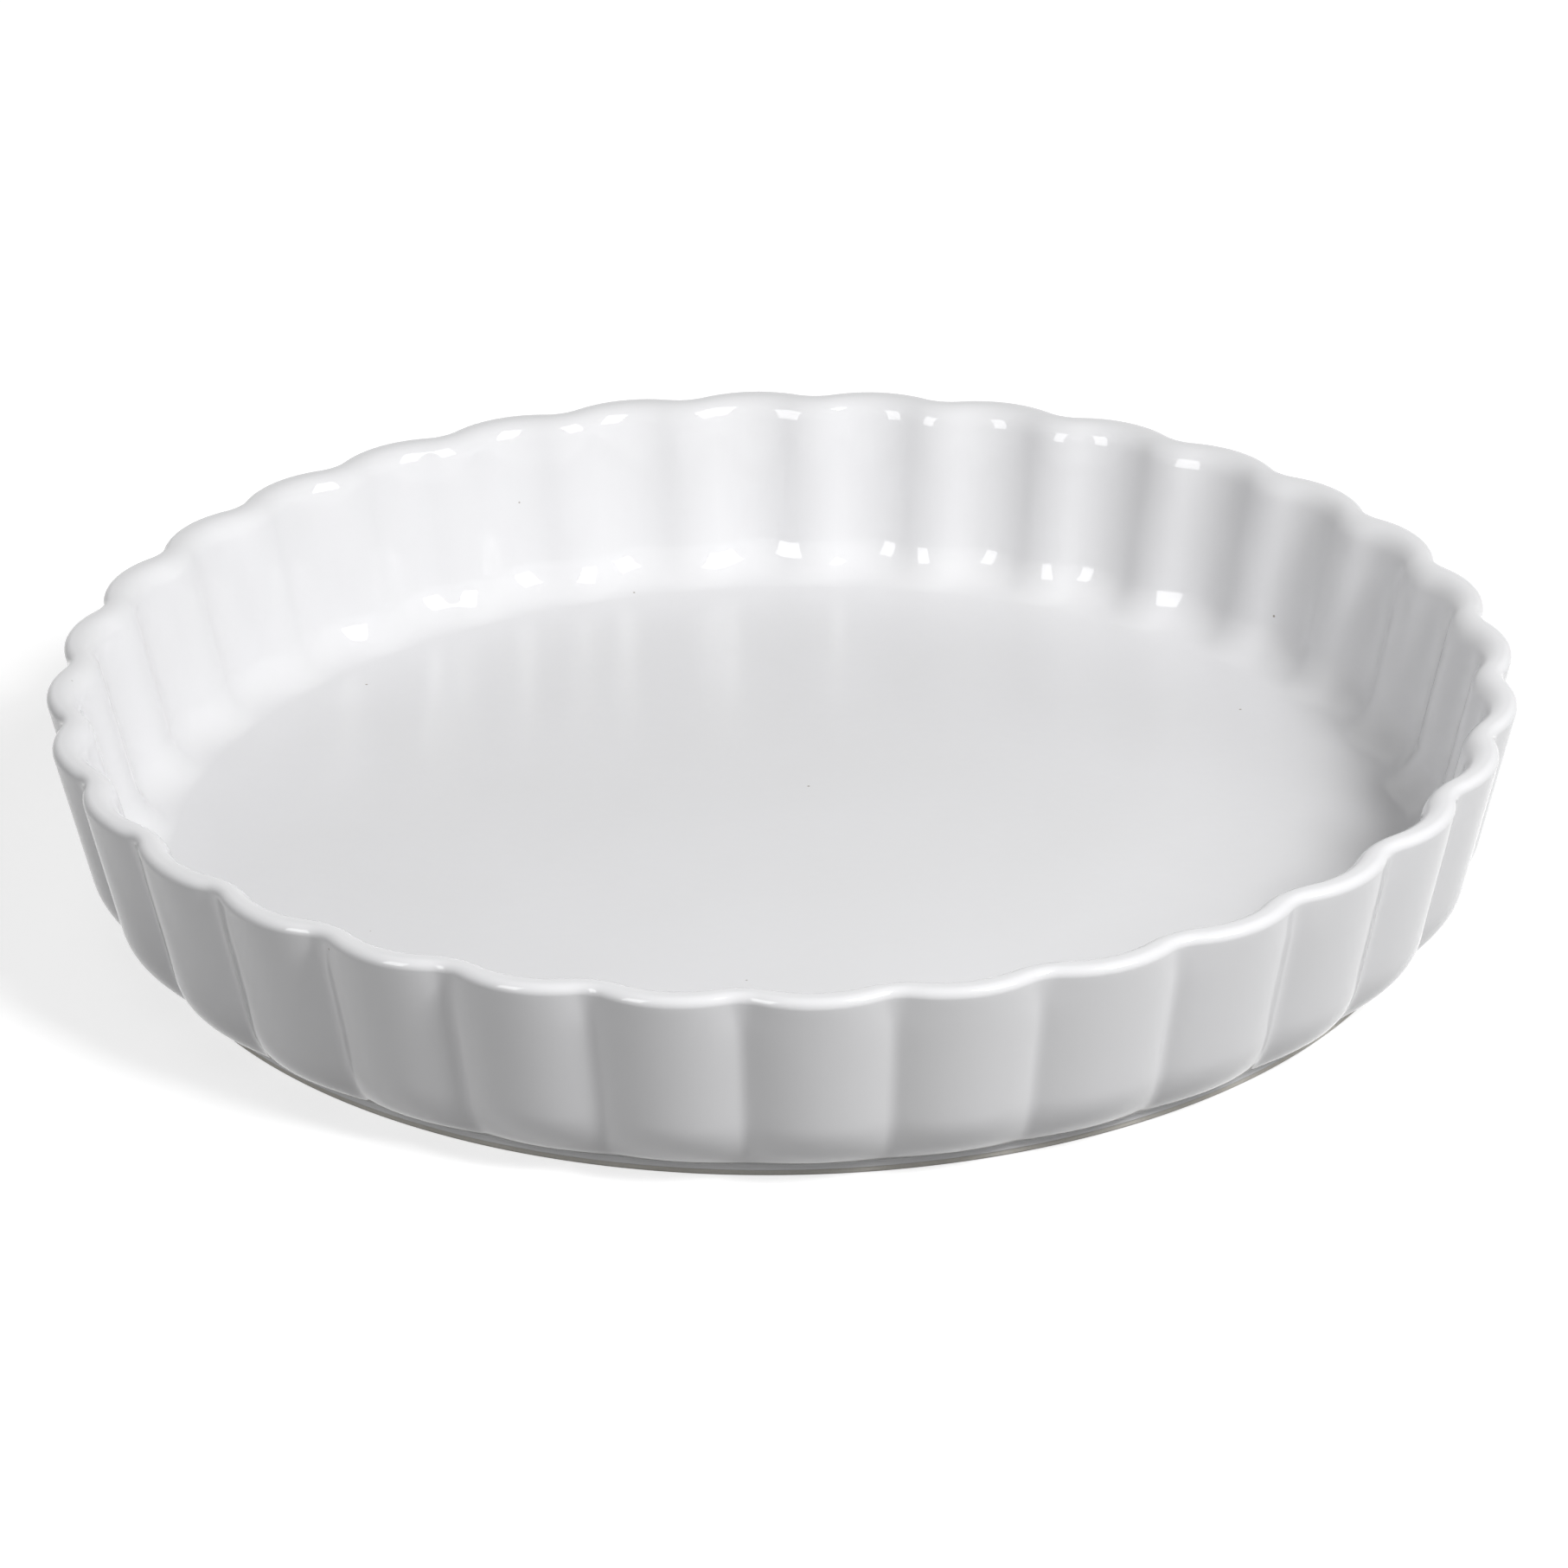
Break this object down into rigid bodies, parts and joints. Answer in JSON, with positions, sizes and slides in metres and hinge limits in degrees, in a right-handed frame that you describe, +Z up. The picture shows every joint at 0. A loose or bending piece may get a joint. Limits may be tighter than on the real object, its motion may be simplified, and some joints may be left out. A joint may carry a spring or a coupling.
{
  "type": "fluted quiche dish",
  "caption": "Round shallow baking dish of white glazed porcelain, with a leaning fluted wall, a rounded lip and a bare foot ring.",
  "frame": {"origin": "centre of the foot ring, on the plane that the dish stands on", "axes": "+Z up along the axis of the round dish; crests of the flutes lie on the X and Y axes"},
  "size_m": [0.28, 0.28, 0.0435],
  "materials": {
    "biscuit": "matt, bare fired clay",
    "glaze": "glossy, clear glaze over white clay"
  },
  "bodies": {
    "root": {"porcelain_body": "biscuit", "glaze_coat": "glaze", "underside_glaze": "glaze"}
  },
  "joints": []
}
